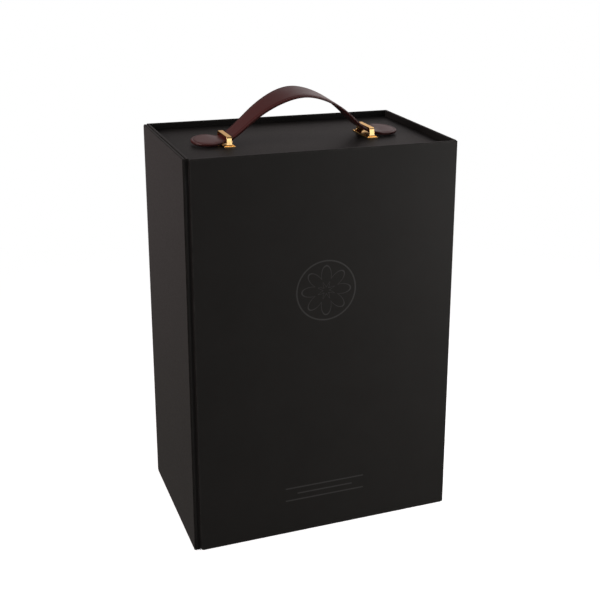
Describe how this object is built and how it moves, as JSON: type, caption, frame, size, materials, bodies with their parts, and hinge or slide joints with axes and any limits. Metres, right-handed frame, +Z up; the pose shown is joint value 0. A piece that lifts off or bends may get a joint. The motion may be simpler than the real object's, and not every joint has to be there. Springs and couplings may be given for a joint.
{
  "type": "collapsible gift box",
  "caption": "Upright rigid gift box of wrapped greyboard with a book-style hinged lid, a closure flap, a recessed top panel and an arched leather strap handle in two bridge loops.",
  "frame": {"origin": "on the ground below the centre of the closed box", "axes": "+Z up, -Y out of the lid's face, +X towards the spine that the lid is hinged to"},
  "size_m": [0.24, 0.155, 0.3862],
  "materials": {
    "black_paper_board": "matte",
    "lining_paper": "matte",
    "fold_paper": "matte",
    "strap_leather": "satin",
    "gold_metal": "polished",
    "steel": "satin",
    "tape_film": "satin"
  },
  "bodies": {
    "carcass": {"spine_panel": "black_paper_board", "back_panel": "black_paper_board", "left_wall": "black_paper_board", "top_wall": "black_paper_board", "bottom_wall": "black_paper_board", "spine_lining": "lining_paper", "back_lining": "lining_paper", "left_wall_lining": "lining_paper", "upper_keeper": "steel", "lower_keeper": "steel", "top_hinge_strip": "fold_paper", "bottom_hinge_strip": "fold_paper", "top_left_ear": "black_paper_board", "top_right_ear": "black_paper_board", "bottom_left_ear": "black_paper_board", "bottom_right_ear": "black_paper_board", "top_left_tape": "tape_film", "top_right_tape": "tape_film", "bottom_left_tape": "tape_film", "bottom_right_tape": "tape_film", "handle_strap": "strap_leather", "left_loop": "gold_metal", "right_loop": "gold_metal", "left_base_plate": "gold_metal", "right_base_plate": "gold_metal", "left_backing_plate": "steel", "right_backing_plate": "steel"},
    "lid": {"lid": "black_paper_board", "lid_lining": "lining_paper", "lid_hinge_web": "fold_paper"},
    "flap": {"closure_flap": "black_paper_board", "flap_lining": "lining_paper", "flap_hinge_web": "fold_paper", "upper_magnet": "steel", "lower_magnet": "steel"}
  },
  "joints": [
    {"name": "lid_hinge", "type": "hinge", "parent": "carcass", "child": "lid", "pos_m": [0.12, -0.0744, 0], "axis": [0, 0, 1], "range_deg": [0, 180], "deforming": ["lid_hinge_web"]},
    {"name": "flap_hinge", "type": "hinge", "parent": "lid", "child": "flap", "pos_m": [-0.1172, -0.0747, 0], "axis": [0, 0, 1], "range_deg": [0, 120], "deforming": ["flap_hinge_web"]}
  ]
}
